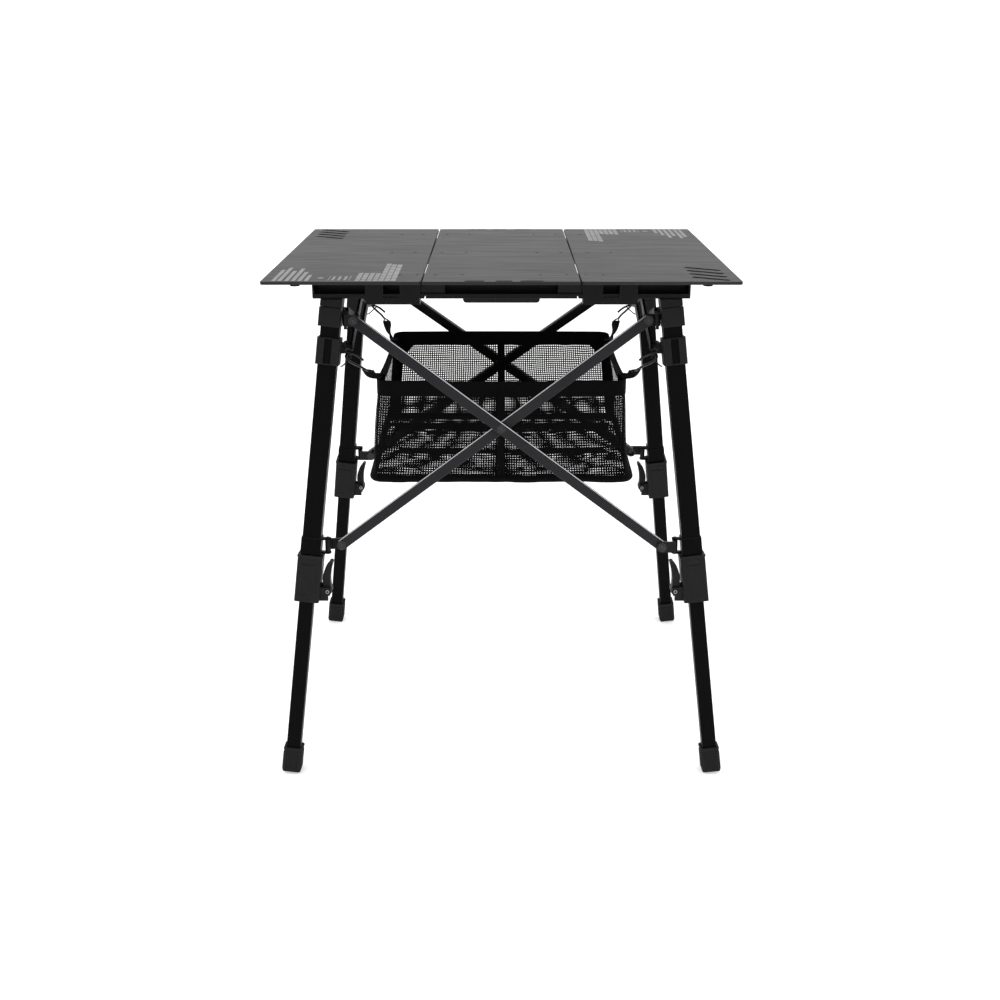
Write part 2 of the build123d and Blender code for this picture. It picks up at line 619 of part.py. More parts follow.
def slider_ring(sx, sy):
    """A bent wire eye on a slider's inboard face, for the basket's hook."""
    x = LEG_FOOT_X - SPLAY_X * RING_Z - SLIDER_SIZE / 2 + 0.4
    y = LEG_FOOT_Y - SPLAY_Y * RING_Z
    route = [
        (sx * (x + 0.6), sy * (y - 1.6), 592.0),
        (sx * (x - 2.0), sy * (y - 1.6), 591.0),
        (sx * (x - 14.5), sy * y, 577.0),
        (sx * (x - 2.0), sy * (y + 1.6), 565.8),
        (sx * (x + 0.6), sy * (y + 1.6), 565.4),
    ]
    path = FilletPolyline(*route, radius=1.6)
    section = Plane(origin=path @ 0, z_dir=path % 0) * Circle(RING_WIRE_R)
    return sweep(section, path=path)


def slider(sx, sy):
    """A collar that slides on a leg, with two grip ribs outside and the side bar's cheek."""
    collar = leg_box(sx, sy, SLIDER_LOW_Z, SLIDER_HIGH_Z, SLIDER_SIZE, SLIDER_SIZE, round_by=3.0)
    for side in SIDES:
        rib = leg_box(sx, sy, SLIDER_LOW_Z + 1, SLIDER_HIGH_Z - 1, GRIP_WIDTH, 5.0, side * 9.5, -16.0)
        collar += rib
    collar += side_ear(sx, sy, SLIDER_PIN_Y, SLIDER_PIN_Z, SLIDER_PIN_Y + SLIDER_EAR_REACH, SLIDER_EAR_X)
    bore = UPPER_TUBE + 2 * SLIDER_BORE_GAP
    collar -= leg_box(sx, sy, SLIDER_LOW_Z - 9, SLIDER_HIGH_Z + 9, bore, bore)
    layer_x = SIDE_INNER_X if sy < 0 else SIDE_OUTER_X
    collar += side_boss(sx, sy, SLIDER_PIN_Y, SLIDER_PIN_Z, layer_x)
    return collar + slider_ring(sx, sy)


for corner, (sx, sy) in CORNERS.items():
    save(f"slider_{corner}", slider(sx, sy))


# ---- basket ----------------------------------------------------------------------------------
def basket_block(inset, low, high):
    """A tapered block: the basket's outer shape, or its inside when inset."""
    low_face = Plane.XY.offset(low) * Rectangle(2 * (BASKET_LOW_X - inset), 2 * (BASKET_LOW_Y - inset))
    top_face = Plane.XY.offset(high) * Rectangle(2 * (BASKET_TOP_X - inset), 2 * (BASKET_TOP_Y - inset))
    return loft([low_face, top_face])


def hook(sx, sy):
    """An open wire hook from the slider's ring to its strap."""
    route = [(sx * x, sy * y, z) for x, y, z in HOOK_ROUTE + (STRAP_TOP,)]
    path = FilletPolyline(*route, radius=2.2)
    section = Plane(origin=path @ 0, z_dir=path % 0) * Circle(HOOK_WIRE_R)
    return sweep(section, path=path)


def strap(sx, sy):
    """A short webbing strap from the hook down to the basket's rim."""
    top = Vector(sx * (STRAP_TOP[0] - 1.0), sy * (STRAP_TOP[1] - 2.0), STRAP_TOP[2] - 2.5)
    end = Vector(sx * STRAP_END[0], sy * STRAP_END[1], STRAP_END[2])
    along = end - top
    plane = Plane(origin=(top + end) / 2, x_dir=along, z_dir=along.cross(Vector(sy, -sx, 0)))
    return plane.location * Box(along.length, STRAP_WIDTH, STRAP_THICK)


basket = basket_block(0, BASKET_LOW_Z, BASKET_TOP_Z)
basket -= basket_block(BASKET_WALL, BASKET_LOW_Z + BASKET_WALL, BASKET_TOP_Z + 0.01)
save("basket", basket)
save("basket_hooks", *[hook(sx, sy) for sx, sy in CORNERS.values()])
save("basket_straps", *[strap(sx, sy) for sx, sy in CORNERS.values()])
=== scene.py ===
"""Looks of the folding camp kitchen table: materials on the CAD parts, and a detailed mesh basket.

Metres, +Z up, the front at -Y. The frame's own nodes stay as they are; pieces made here ride on them.
"""
import json
import math

import bmesh
import bpy
from mathutils import Matrix, Vector, noise

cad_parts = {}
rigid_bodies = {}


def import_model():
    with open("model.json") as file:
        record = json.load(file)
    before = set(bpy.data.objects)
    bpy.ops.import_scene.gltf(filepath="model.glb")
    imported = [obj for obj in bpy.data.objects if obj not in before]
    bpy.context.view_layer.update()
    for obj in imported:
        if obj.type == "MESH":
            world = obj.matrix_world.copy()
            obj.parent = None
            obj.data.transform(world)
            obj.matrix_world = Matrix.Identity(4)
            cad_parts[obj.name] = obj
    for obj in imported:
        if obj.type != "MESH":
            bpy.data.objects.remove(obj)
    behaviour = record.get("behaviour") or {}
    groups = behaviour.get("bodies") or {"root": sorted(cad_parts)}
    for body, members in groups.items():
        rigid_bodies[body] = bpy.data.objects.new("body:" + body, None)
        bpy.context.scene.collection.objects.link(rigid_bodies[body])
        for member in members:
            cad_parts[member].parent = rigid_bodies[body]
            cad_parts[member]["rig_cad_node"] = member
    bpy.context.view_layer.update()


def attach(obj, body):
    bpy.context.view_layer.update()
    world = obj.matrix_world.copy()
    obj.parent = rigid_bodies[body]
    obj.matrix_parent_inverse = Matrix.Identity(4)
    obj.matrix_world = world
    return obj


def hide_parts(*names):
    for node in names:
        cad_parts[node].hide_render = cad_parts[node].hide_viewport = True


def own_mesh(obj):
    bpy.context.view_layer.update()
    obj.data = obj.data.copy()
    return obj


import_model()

TOP_Z = 0.6894
SPLAY_X, SPLAY_Y = 0.1163, 0.1331
FOOT_X, FOOT_Y = 0.2957, 0.2552
CORNERS = {"fl": (-1, -1), "fr": (1, -1), "bl": (-1, 1), "br": (1, 1)}


# ---- materials ----------------------------------------------------------------------------
def new_material(name, **sockets):
    """A material with its node tree, its shader and object coordinates."""
    material = bpy.data.materials.new(name)
    material.use_nodes = True
    tree = material.node_tree
    shader = tree.nodes["Principled BSDF"]
    for socket, value in sockets.items():
        shader.inputs[socket.replace("_", " ")].default_value = value
    place = tree.nodes.new("ShaderNodeTexCoord").outputs["Object"]
    return material, tree, shader, place


def noise_node(tree, place, scale, detail=3.0, stretch=(1, 1, 1)):
    """Noise over the object, in features per metre, stretched by axis."""
    mapping = tree.nodes.new("ShaderNodeMapping")
    mapping.inputs["Scale"].default_value = stretch
    tree.links.new(place, mapping.inputs["Vector"])
    texture = tree.nodes.new("ShaderNodeTexNoise")
    texture.inputs["Scale"].default_value = scale
    texture.inputs["Detail"].default_value = detail
    tree.links.new(mapping.outputs["Vector"], texture.inputs["Vector"])
    return texture.outputs["Fac"]


def ramp(tree, value, low, high, start=0.3, end=0.7):
    """A value mapped to a colour between low and high."""
    node = tree.nodes.new("ShaderNodeValToRGB")
    node.color_ramp.elements[0].position = start
    node.color_ramp.elements[1].position = end
    node.color_ramp.elements[0].color = (*low, 1)
    node.color_ramp.elements[1].color = (*high, 1)
    tree.links.new(value, node.inputs["Fac"])
    return node.outputs["Color"]


def to_range(tree, value, low, high):
    """Noise mapped to a number between low and high."""
    node = tree.nodes.new("ShaderNodeMapRange")
    node.inputs["From Min"].default_value = 0.3
    node.inputs["From Max"].default_value = 0.7
    node.inputs["To Min"].default_value = low
    node.inputs["To Max"].default_value = high
    tree.links.new(value, node.inputs["Value"])
    return node.outputs["Result"]


def bump(tree, shader, height, depth, strength=1.0):
    """Surface relief of depth metres, added to any relief already there."""
    node = tree.nodes.new("ShaderNodeBump")
    node.inputs["Distance"].default_value = depth
    node.inputs["Strength"].default_value = strength
    socket = shader.inputs["Normal"]
    if socket.links:
        tree.links.new(socket.links[0].from_socket, node.inputs["Normal"])
    tree.links.new(height, node.inputs["Height"])
    tree.links.new(node.outputs["Normal"], socket)


def soft_edges(tree, shader, radius):
    """Shades the sharp edges as if they were rounded, and returns how near an edge is: 0 to 1."""
    bevel = tree.nodes.new("ShaderNodeBevel")
    bevel.samples = 4
    bevel.inputs["Radius"].default_value = radius
    tree.links.new(bevel.outputs["Normal"], shader.inputs["Normal"])
    geometry = tree.nodes.new("ShaderNodeNewGeometry")
    dot = tree.nodes.new("ShaderNodeVectorMath")
    dot.operation = "DOT_PRODUCT"
    tree.links.new(bevel.outputs["Normal"], dot.inputs[0])
    tree.links.new(geometry.outputs["Normal"], dot.inputs[1])
    near = tree.nodes.new("ShaderNodeMapRange")
    near.inputs["From Min"].default_value = 0.995
    near.inputs["From Max"].default_value = 0.86
    tree.links.new(dot.outputs["Value"], near.inputs["Value"])
    return near.outputs["Result"]


def edge_wear_and_highlight(tree, colour, near, worn_and_lit, amount=0.35):
    """The colour, lighter by amount on sharp edges: partly rubbed paint, partly a painted highlight where the
    edges catch the light.
    """
    share = tree.nodes.new("ShaderNodeMath")
    share.operation = "MULTIPLY"
    share.inputs[1].default_value = amount
    tree.links.new(near, share.inputs[0])
    mix = tree.nodes.new("ShaderNodeMix")
    mix.data_type = "RGBA"
    tree.links.new(share.outputs["Value"], mix.inputs["Factor"])
    tree.links.new(colour, mix.inputs["A"])
    mix.inputs["B"].default_value = (*worn_and_lit, 1)
    return mix.outputs["Result"]


def grey(value, blue=1.0):
    return (value, value, value * blue)


def coat(name, level, rough, streaks=(1, 1, 1), grain=900.0, blue=1.04, specular=0.5, wear_and_highlight=0.35):
    """Satin powder coat: soft patches of tone and gloss, fine orange peel, and sharp edges painted lighter,
    partly as rubbed paint and partly as painted highlight.
    """
    material, tree, shader, place = new_material(name, Specular_IOR_Level=specular)
    patches = noise_node(tree, place, 14.0, 4.0, streaks)
    colour = ramp(tree, patches, grey(level * 0.86, blue), grey(level * 1.14, blue))
    near = soft_edges(tree, shader, 0.0008)
    # sharp edges painted lighter: partly rubbed paint, partly painted highlight
    colour = edge_wear_and_highlight(tree, colour, near, grey(0.12, blue), wear_and_highlight)
    tree.links.new(colour, shader.inputs["Base Color"])
    gloss = noise_node(tree, place, 30.0, 3.0, streaks)
    tree.links.new(to_range(tree, gloss, rough - 0.05, rough + 0.05), shader.inputs["Roughness"])
    bump(tree, shader, noise_node(tree, place, grain, 2.0), 0.00006, 0.35)
    return material


def moulded(name, level, rough, grain=1500.0):
    """Black moulded plastic with a fine spark-eroded grain."""
    material, tree, shader, place = new_material(name, Specular_IOR_Level=0.16)
    patches = noise_node(tree, place, 40.0, 4.0)
    colour = ramp(tree, patches, grey(level * 0.8), grey(level * 1.25))
    near = soft_edges(tree, shader, 0.0010)
    # sharp edges painted lighter: partly rubbed plastic, partly painted highlight
    tree.links.new(edge_wear_and_highlight(tree, colour, near, grey(0.06), 0.4), shader.inputs["Base Color"])
    tree.links.new(to_range(tree, patches, rough - 0.06, rough + 0.06), shader.inputs["Roughness"])
    bump(tree, shader, noise_node(tree, place, grain, 3.0), 0.00012, 0.5)
    return material


def woven(name, level, pitch, rough=0.85):
    """Webbing or tape: a fine plain weave with a little sheen."""
    material, tree, shader, place = new_material(name, Specular_IOR_Level=0.06, Sheen_Weight=0.02)
    for axis in ("X", "Y", "Z"):
        wave = tree.nodes.new("ShaderNodeTexWave")
        wave.bands_direction = axis
        wave.inputs["Scale"].default_value = 1.0 / pitch / 3.14
        wave.inputs["Distortion"].default_value = 0.6
        wave.inputs["Detail Scale"].default_value = 2.0
        tree.links.new(place, wave.inputs["Vector"])
        bump(tree, shader, wave.outputs["Fac"], 0.0002, 0.5)
    patches = noise_node(tree, place, 180.0, 4.0)
    colour = ramp(tree, patches, grey(level * 0.6), grey(level * 1.5))
    tree.links.new(colour, shader.inputs["Base Color"])
    tree.links.new(to_range(tree, patches, rough - 0.08, rough + 0.08), shader.inputs["Roughness"])
    return material


def steel(name):
    """Bright zinc-plated pin ends, brushed round."""
    material, tree, shader, place = new_material(name, Metallic=1.0)
    fine = noise_node(tree, place, 260.0, 4.0)
    tree.links.new(ramp(tree, fine, grey(0.28), grey(0.5)), shader.inputs["Base Color"])
    tree.links.new(to_range(tree, fine, 0.28, 0.42), shader.inputs["Roughness"])
    bump(tree, shader, fine, 0.00004, 0.4)
    return material


# edge lightening in these coats: partly rubbed paint, partly painted highlight on the sharp edges
BOARD = coat("board_coat", 0.021, 0.42, (0.35, 5.0, 1.0), blue=1.04, specular=0.06, wear_and_highlight=0.3)
RAIL = coat("rail_coat", 0.0030, 0.42, specular=0.12)
FRAME = coat("frame_coat", 0.0014, 0.42, (3, 3, 0.25), blue=1.15, specular=0.045)
BRACE = coat("brace_coat", 0.011, 0.42, (1, 1, 1), blue=1.16, specular=0.16, wear_and_highlight=1.0)
ARM = coat("arm_coat", 0.0065, 0.42, blue=1.16, specular=0.12, wear_and_highlight=0.4)
BAR = coat("side_bar_coat", 0.0016, 0.45, blue=1.15, specular=0.05, wear_and_highlight=0.06)
PLASTIC = moulded("moulded_plastic", 0.0042, 0.5)
RUBBER = moulded("foot_rubber", 0.0065, 0.72, 700.0)
PINS = coat("pin_coat", 0.012, 0.32, specular=0.3, wear_and_highlight=0.8)
WIRE = coat("wire_coat", 0.004, 0.28, specular=0.25, wear_and_highlight=0.2)
NET = woven("net_yarn", 0.0020, 0.0006)
TAPE = woven("tape", 0.0018, 0.0011)
PRINT = coat("print_grey", 0.20, 0.6, grain=2200.0, blue=1.02, wear_and_highlight=0.0)
STEEL = steel("pin_steel")
# a bright coat for the painted highlight beads on the braces' top edges
BRACE_HIGHLIGHT = coat("rubbed_edge", 0.55, 0.35, specular=0.6, wear_and_highlight=0.0)

NODE_MATERIALS = (
    ("brace_arms", ARM), ("brace_falling", BRACE), ("brace_rising", BRACE), ("side_bar", BAR),
    ("brace_rivets", PINS), ("lever_pins", STEEL), ("board", BOARD), ("rails", RAIL),
    ("sleeves", RAIL), ("tongues", PLASTIC), ("grips", PLASTIC), ("bumpers", RUBBER),
    ("upper_legs", FRAME), ("lower_leg", FRAME), ("lower_brackets", FRAME), ("top_caps", PLASTIC),
    ("top_blocks", PLASTIC), ("clamp_housings", PLASTIC), ("lever_", PLASTIC), ("foot_", RUBBER),
    ("slider_", PLASTIC), ("basket_hooks", WIRE), ("basket_straps", TAPE), ("basket", NET),
)


def material_for(node):
    return next(material for part, material in NODE_MATERIALS if part in node)


NODES = sorted(o.name for o in bpy.data.objects if "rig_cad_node" in o)
for node in NODES:
    shown = bpy.data.objects[node]
    shown.data.materials.clear()
    shown.data.materials.append(material_for(shown["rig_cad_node"]))


# ---- mesh helpers ---------------------------------------------------------------------------
def make_piece(name, vertices, faces, material, smooth=False):
    """A mesh object with its normals made consistent."""
    mesh = bpy.data.meshes.new(name)
    mesh.from_pydata([tuple(v) for v in vertices], [], faces)
    mesh.validate()
    work = bmesh.new()
    work.from_mesh(mesh)
    bmesh.ops.recalc_face_normals(work, faces=work.faces)
    work.to_mesh(mesh)
    work.free()
    mesh.polygons.foreach_set("use_smooth", [smooth] * len(mesh.polygons))
    mesh.materials.append(material)
    piece = bpy.data.objects.new(name, mesh)
    bpy.context.scene.collection.objects.link(piece)
    return piece


def join_meshes(parts):
    """Several (vertices, faces) lists as one."""
    vertices, faces = [], []
    for more_vertices, more_faces in parts:
        start = len(vertices)
        vertices += more_vertices
        faces += [tuple(start + i for i in face) for face in more_faces]
    return vertices, faces


def sweep(rings, closed=False):
    """Quads between section rings, with end caps unless the rings close on themselves."""
    size = len(rings[0])
    vertices = [point for ring in rings for point in ring]
    faces = []
    spans = len(rings) if closed else len(rings) - 1
    for i in range(spans):
        a, b = i * size, ((i + 1) % len(rings)) * size
        for k in range(size):
            faces.append((a + k, a + (k + 1) % size, b + (k + 1) % size, b + k))
    if not closed:
        faces.append(tuple(range(size)))
        faces.append(tuple(range((len(rings) - 1) * size, len(rings) * size)))
    return vertices, faces


def round_section(radius, count=12):
    return [(radius * math.cos(2 * math.pi * k / count), radius * math.sin(2 * math.pi * k / count))
            for k in range(count)]


def flat_section(width, thick):
    """A flat band's section with rounded edges."""
    w, t = width / 2, thick / 2
    e = min(t * 0.8, w / 3)
    return [(-w, -t + e), (-w + e, -t), (w - e, -t), (w, -t + e),
            (w, t - e), (w - e, t), (-w + e, t), (-w, t - e)]


def smooth_line(points, steps=8):
    """A Catmull-Rom curve through the points."""
    ends = [2 * points[0] - points[1]] + list(points) + [2 * points[-1] - points[-2]]
    line = []
    for a, b, c, d in zip(ends, ends[1:], ends[2:], ends[3:]):
        for k in range(steps):
            t = k / steps
            line.append(0.5 * (2 * b + (c - a) * t + (2 * a - 5 * b + 4 * c - d) * t * t
                               + (3 * b - a - 3 * c + d) * t * t * t))
    line.append(points[-1])
    return line


def along(line, section, across, closed=False, turn=None):
    """Section rings along a line; across(i) is about the section's first axis, turn(i) twists it."""
    rings = []
    count = len(line)
    for i, point in enumerate(line):
        after = line[(i + 1) % count] if closed or i < count - 1 else point
        before = line[i - 1] if closed or i > 0 else point
        tangent = (after - before).normalized()
        side = across(i)
        side = (side - tangent * side.dot(tangent)).normalized()
        if turn:
            side = Matrix.Rotation(turn(i), 3, tangent) @ side
        normal = tangent.cross(side)
        rings.append([point + side * a + normal * b for a, b in section])
    return sweep(rings, closed)


def wire(points, radius, steps=8, count=10):
    """A round wire along a smooth line, carried without twist."""
    line = smooth_line([Vector(p) for p in points], steps)
    side = (line[1] - line[0]).orthogonal().normalized()
    sides = []
    for i in range(len(line)):
        tangent = (line[min(i + 1, len(line) - 1)] - line[max(i - 1, 0)]).normalized()
        side = (side - tangent * side.dot(tangent)).normalized()
        sides.append(side)
    return along(line, round_section(radius, count), lambda i: sides[i])


def leg_axis(sx, sy, z):
    """The point on a leg's axis at height z."""
    return Vector((sx * (FOOT_X - SPLAY_X * z), sy * (FOOT_Y - SPLAY_Y * z), z))


def leg_frame(sx, sy, z):
    """A matrix whose local z runs up the leg at height z and whose x runs along the table."""
    up = Vector((-sx * SPLAY_X, -sy * SPLAY_Y, 1)).normalized()
    x = Vector((1, 0, sx * SPLAY_X)).normalized()
    y = up.cross(x)
    turn = Matrix((x, y, up)).transposed().to_4x4()
    return Matrix.Translation(leg_axis(sx, sy, z)) @ turn


def placed(matrix, part):
    """A (vertices, faces) part moved by a matrix."""
    vertices, faces = part
    return [matrix @ Vector(v) for v in vertices], faces


def soft_block(width, depth, height, edge):
    """A block about the origin with rounded vertical and horizontal edges."""
    rings = []
    for z, inset in ((-height / 2, edge), (-height / 2 + edge * 0.3, edge * 0.3), (-height / 2 + edge, 0),
                     (height / 2 - edge, 0), (height / 2 - edge * 0.3, edge * 0.3), (height / 2, edge)):
        outline = rounded_outline(width / 2 - inset, depth / 2 - inset, edge)
        rings.append([Vector((x, y, z)) for x, y in outline])
    return sweep(rings)


def rounded_outline(half_x, half_y, radius, steps=4):
    """A rectangle's outline with rounded corners."""
    points = []
    for cx, cy, start in ((1, 1, 0), (-1, 1, 1), (-1, -1, 2), (1, -1, 3)):
        for k in range(steps + 1):
            angle = (start + k / steps) * math.pi / 2
            points.append((cx * (half_x - radius) + radius * math.cos(angle),
                           cy * (half_y - radius) + radius * math.sin(angle)))
    return points


def dome(centre, normal, radius, height, count=20):
    """A shallow domed head standing on a surface."""
    normal = Vector(normal).normalized()
    u = normal.orthogonal().normalized()
    v = normal.cross(u)
    rings = []
    for share, rise in ((1.0, 0.0), (0.98, 0.45), (0.85, 0.75), (0.6, 0.92), (0.25, 1.0)):
        ring = []
        for k in range(count):
            angle = 2 * math.pi * k / count
            offset = (u * math.cos(angle) + v * math.sin(angle)) * radius * share
            ring.append(Vector(centre) + offset + normal * height * rise)
        rings.append(ring)
    return sweep(rings)


# ---- the mesh basket ------------------------------------------------------------------------
RIM_X, RIM_Y = 0.1705, 0.1310
BASE_X, BASE_Y = 0.1795, 0.1370
RIM_Z, BASE_Z = 0.5405, 0.4010
TILT = 0.047                  # the back of the basket hangs higher than its front
CORNER_R = 0.014
NET_PITCH = 0.0035
YARN = 0.0019
GUSSET = 0.030
CORNER_SEAM, FRONT_SEAM = 0.0220, 0.0036
WALL_H = RIM_Z - BASE_Z


def outline_point(share, half_x, half_y):
    """A point and outward direction on the basket's rounded outline, share from 0 to 1 around."""
    straight_x, straight_y = 2 * (half_x - CORNER_R), 2 * (half_y - CORNER_R)
    arc = math.pi / 2 * CORNER_R
    at = share * 2 * (straight_x + straight_y + 2 * arc)
    x, y = half_x, half_y
    sides = ((straight_x, (-x + CORNER_R, -y), (1, 0)), (straight_y, (x, -y + CORNER_R), (0, 1)),
             (straight_x, (x - CORNER_R, y), (-1, 0)), (straight_y, (-x, y - CORNER_R), (0, -1)))
    for length, start, way in sides:
        start, way = Vector(start), Vector(way)
        out = Vector((way.y, -way.x))
        if at <= length:
            return start + way * at, out
        at -= length
        if at <= arc:
            angle = at / CORNER_R
            centre = start + way * length - out * CORNER_R
            turned = out * math.cos(angle) + way * math.sin(angle)
            return centre + turned * CORNER_R, turned
        at -= arc
    return Vector((-x + CORNER_R, -y)), Vector((0, -1))


def wall_point(share, up, out=0.0):
    """A point on the basket's wall; up runs from 0 at the floor to 1 at the rim."""
    half_x = BASE_X + (RIM_X - BASE_X) * up
    half_y = BASE_Y + (RIM_Y - BASE_Y) * up
    flat, normal = outline_point(share, half_x, half_y)
    flat.x *= 1 - 0.018 * up * (1 + flat.y / half_y)
    mid = max(0.0, 1 - abs(abs(normal.x) - abs(normal.y) - (1 if abs(normal.x) > 0.5 else -1)))
    run = flat.x / half_x if abs(normal.y) > 0.5 else flat.y / half_y
    slack = (1 - run * run) * mid
    wave = noise.noise(Vector((flat.x * 9, flat.y * 9, up * 1.6))) * 0.004 * math.sin(math.pi * up)
    belly = 0.004 * slack * math.sin(math.pi * min(1.0, up * 1.15)) - 0.003 * slack * up
    shift = out + wave + belly
    sag = -0.0022 * slack * up if flat.y < 0 or abs(normal.x) > 0.5 else 0.0015 * slack * up
    z = BASE_Z + WALL_H * up + TILT * flat.y + sag
    return Vector((flat.x + normal.x * shift, flat.y + normal.y * shift, z))


def wall_normal(share):
    flat, normal = outline_point(share, RIM_X, RIM_Y)
    return Vector((normal.x, normal.y, 0))


RIDGES = ((0.066, 0.0105, 0.0042), (-0.036, 0.0085, 0.0070), (-0.098, 0.0055, 0.0060))


def floor_point(x, y):
    """The sagging floor with its soft folds across."""
    slack = max(0.0, (1 - (x / BASE_X) ** 2) * (1 - (y / BASE_Y) ** 2))
    z = BASE_Z + TILT * y - 0.008 * slack
    for middle, height, width in RIDGES:
        bend = middle + 0.006 * math.cos(x * 11.0) + 0.003 * noise.noise(Vector((x * 12, middle * 50, 0)))
        fade = min(1.0, (1 - abs(x / BASE_X)) * 7)
        z += height * fade * math.exp(-(((y - bend) / width) ** 2))
    return Vector((x, y, z + 0.002 * slack * noise.noise(Vector((x * 30, y * 30, 1.0)))))


def netting(columns, rows, point, closed):
    """Yarns round every mesh of a net: each cell is a frame of four narrow quads."""
    vertices, faces = [], []
    grid = {}
    wide = columns if closed else columns + 1
    for j in range(rows + 1):
        for i in range(wide):
            grid[i, j] = len(vertices)
            vertices.append(point(i / columns, j / rows))
    inset = YARN / 2 / NET_PITCH
    for j in range(rows):
        for i in range(columns):
            corners = [grid[i, j], grid[(i + 1) % wide, j], grid[(i + 1) % wide, j + 1], grid[i, j + 1]]
            a, b, c, d = (vertices[k] for k in corners)
            inner = []
            for u, v in ((inset, inset), (1 - inset, inset), (1 - inset, 1 - inset), (inset, 1 - inset)):
                low, high = a.lerp(b, u), d.lerp(c, u)
                inner.append(len(vertices))
                vertices.append(low.lerp(high, v))
            for k in range(4):
                n = (k + 1) % 4
                faces.append((corners[k], corners[n], inner[n], inner[k]))
    return vertices, faces


ROUND = 2 * (RIM_X + BASE_X + RIM_Y + BASE_Y)


def yarn_drift(a, b, seed):
    """How far a net's yarns wander from a straight grid, in metres."""
    broad = noise.noise(Vector((a * 55, b * 55, seed)))
    fine = noise.noise(Vector((a * 140, b * 140, seed)))
    return 0.0011 * broad + 0.0006 * fine


def in_wall(u, v):
    """The walls' net: u once round, v from floor to rim; yarns lie straight at the edges and the joint."""
    a, b = min(u, 1 - u) * ROUND, v * WALL_H
    free = min(1.0, 8 * v, 8 * (1 - v)) * math.sin(math.pi * u)
    half = 9.0 * (u > 0.5)
    share = (u + free * yarn_drift(a, b, 3.0 + half) / ROUND) % 1.0
    return wall_point(share, v + free * yarn_drift(a, b, 7.0 + half) / WALL_H)


def in_floor(u, v):
    """The floor's net, from its front left to its back right corner."""
    x, y = (2 * u - 1) * (BASE_X - 0.003), (2 * v - 1) * (BASE_Y - 0.003)
    inside = min(1.0, 10 * u, 10 * (1 - u), 10 * v, 10 * (1 - v))
    return floor_point(x + inside * yarn_drift(x, y, 11.0), y + inside * yarn_drift(x, y, 13.0))


def around(up, out, z_shift=0.0, count=280):
    """A closed line round the basket."""
    return [wall_point(k / count, up, out) + Vector((0, 0, z_shift)) for k in range(count)]


def band(up, width, thick, out, count=280):
    """A flat band round the basket, standing upright."""
    line = around(up, out, count=count)
    return along(line, flat_section(width, thick), lambda i: Vector((0, 0, 1)), closed=True)


def upright(share, width, thick, out, low=0.0, high=1.0, rows=24):
    """A band up the wall at one place."""
    line = [wall_point(share, low + (high - low) * k / rows, out) for k in range(rows + 1)]
    side = Vector((0, 0, 1)).cross(wall_normal(share))
    return along(line, flat_section(width, thick), lambda i: side)


def share_at(x_way, y_way):
    """Where the outline faces that way: the middle of a side, or a corner if both are given."""
    return max((k / 2000 for k in range(2000)),
               key=lambda s: outline_point(s, RIM_X, RIM_Y)[1].dot(Vector((x_way, y_way)).normalized())
               - 0.001 * abs(outline_point(s, RIM_X, RIM_Y)[0].dot(Vector((y_way, x_way)))))


wall_meshes = round(ROUND / NET_PITCH), round(WALL_H / NET_PITCH)
floor_meshes = round(2 * BASE_X / NET_PITCH), round(2 * BASE_Y / NET_PITCH)
net_walls = make_piece("basket_net_walls", *netting(*wall_meshes, in_wall, True), NET)
net_floor = make_piece("basket_net_floor", *netting(*floor_meshes, in_floor, False), NET)
hem_line = around(0.02, 0.0005, -0.002)
hem_wave = [p + Vector((0, 0, 0.0012 * noise.noise(p * 40))) for p in hem_line]
hem = make_piece("basket_hem", *along(hem_wave, round_section(0.0052, 12), lambda i: Vector((0, 0, 1)), True),
                 TAPE, True)
rim = make_piece("basket_rim", *band(0.925, 0.0215, 0.0016, 0.0006), TAPE)
uprights = []
for way in ((0, -1), (0, 1)):
    uprights.append(upright(share_at(*way), 0.0105, 0.0012, 0.0016, 0.03, 0.995))
for cx in (-1, 1):
    uprights.append(upright(share_at(cx, -1), FRONT_SEAM, 0.0016, 0.0004, 0.03, 0.98))
bands = make_piece("basket_bands", *join_meshes(uprights), TAPE)


def wall_cloth(top, drop, edges, rows=8):
    """Double cloth on the wall, from top down by drop; edges(t) gives its two sides at share t of the way."""
    outer, inner = [], []
    for j in range(rows + 1):
        first, last = edges(j / rows)
        for k in range(rows + 1):
            share = (first + (last - first) * k / rows) % 1.0
            up = top - drop * j / rows
            outer.append(wall_point(share, up, 0.0011))
            inner.append(wall_point(share, up, -0.0005))
    wide = rows + 1
    faces = []
    for j in range(rows):
        for k in range(rows):
            a = j * wide + k
            faces.append((a, a + 1, a + wide + 1, a + wide))
            faces.append(tuple(len(outer) + i for i in (a, a + wide, a + wide + 1, a + 1)))
    return outer + inner, faces


def gusset(sx, sy, along_x):
    """A triangle of cloth in a top corner, on one wall."""
    mid = share_at(sx, sy)
    step = GUSSET / ROUND * (1 if (sx * sy < 0) == along_x else -1)
    return wall_cloth(0.86, 0.24, lambda t: (mid, mid + step * (1 - t)))


def corner_cloth(sx, sy):
    """The broad doubled seam down a back corner."""
    mid = share_at(sx, sy)
    half = CORNER_SEAM / 2 / ROUND
    return wall_cloth(0.98, 0.95, lambda t: (mid - half, mid + half), 12)


corner_pieces = [gusset(cx, 1, flag) for cx in (-1, 1) for flag in (True, False)]
corner_pieces += [corner_cloth(cx, 1) for cx in (-1, 1)]
gussets = make_piece("basket_gussets", *join_meshes(corner_pieces), TAPE)


def fold_tape(middle, height, span):
    """The doubled edge of cloth along a fold in the floor."""
    line = []
    for k in range(61):
        x = (2 * k / 60 - 1) * span
        bend = middle + 0.006 * math.cos(x * 11.0)
        line.append(floor_point(x, bend) + Vector((0, 0, height * 0.35)))
    return along(line, flat_section(height, 0.0014), lambda i: Vector((0, 0.25, 1)))


